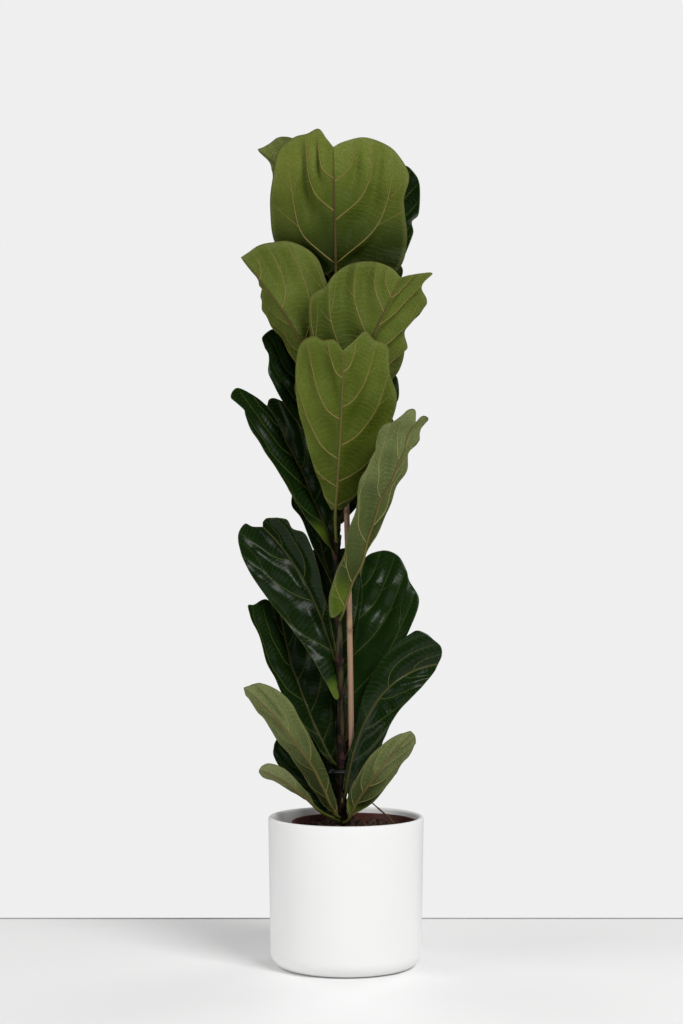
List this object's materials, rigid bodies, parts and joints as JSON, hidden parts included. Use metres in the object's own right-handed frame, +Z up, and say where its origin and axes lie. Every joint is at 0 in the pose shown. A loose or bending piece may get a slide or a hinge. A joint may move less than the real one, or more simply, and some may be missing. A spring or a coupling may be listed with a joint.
{
  "type": "potted fiddle leaf fig",
  "caption": "Tall upright broad-leaved houseplant on a single staked stem, in a nursery pot inside a plain round cachepot.",
  "frame": {"origin": "centre of the cachepot's flat underside, on the surface the plant stands on", "axes": "+Z up along the stem, -Y towards the side seen in the picture, +X to that viewer's right"},
  "size_m": [0.3359, 0.2684, 1.3155],
  "materials": {
    "glaze": "smooth matt white glaze",
    "nursery_plastic": "thin red-brown plastic",
    "soil": "damp crumbly potting soil",
    "bark": "olive-brown young bark",
    "cane": "dry tan bamboo",
    "clip_plastic": "black plastic",
    "dry_stalk": "dry brown plant stalk",
    "leaf": "dark waxy leaf",
    "young_leaf": "lighter leaf, its underside turned to the front"
  },
  "bodies": {
    "root": {"cachepot": "glaze", "nursery_pot": "nursery_plastic", "soil": "soil", "stem": "bark", "bamboo_stake": "cane", "clip": "clip_plastic", "dry_stalk": "dry_stalk", "leaf_01": "young_leaf", "leaf_02": "young_leaf", "leaf_03": "leaf", "leaf_04": "leaf", "leaf_05": "leaf", "leaf_06": "leaf", "leaf_07": "young_leaf", "leaf_08": "young_leaf", "leaf_09": "leaf", "leaf_10": "leaf", "leaf_11": "leaf", "leaf_12": "leaf", "leaf_13": "young_leaf", "leaf_14": "leaf", "leaf_15": "leaf", "leaf_16": "young_leaf", "leaf_17": "leaf", "leaf_18": "leaf", "leaf_19": "leaf", "leaf_20": "leaf", "leaf_21": "leaf", "leaf_22": "leaf", "leaf_23": "leaf", "leaf_24": "leaf", "leaf_25": "leaf", "leaf_26": "leaf", "leaf_27": "young_leaf", "leaf_28": "leaf", "leaf_29": "young_leaf", "leaf_30": "young_leaf"}
  },
  "joints": []
}
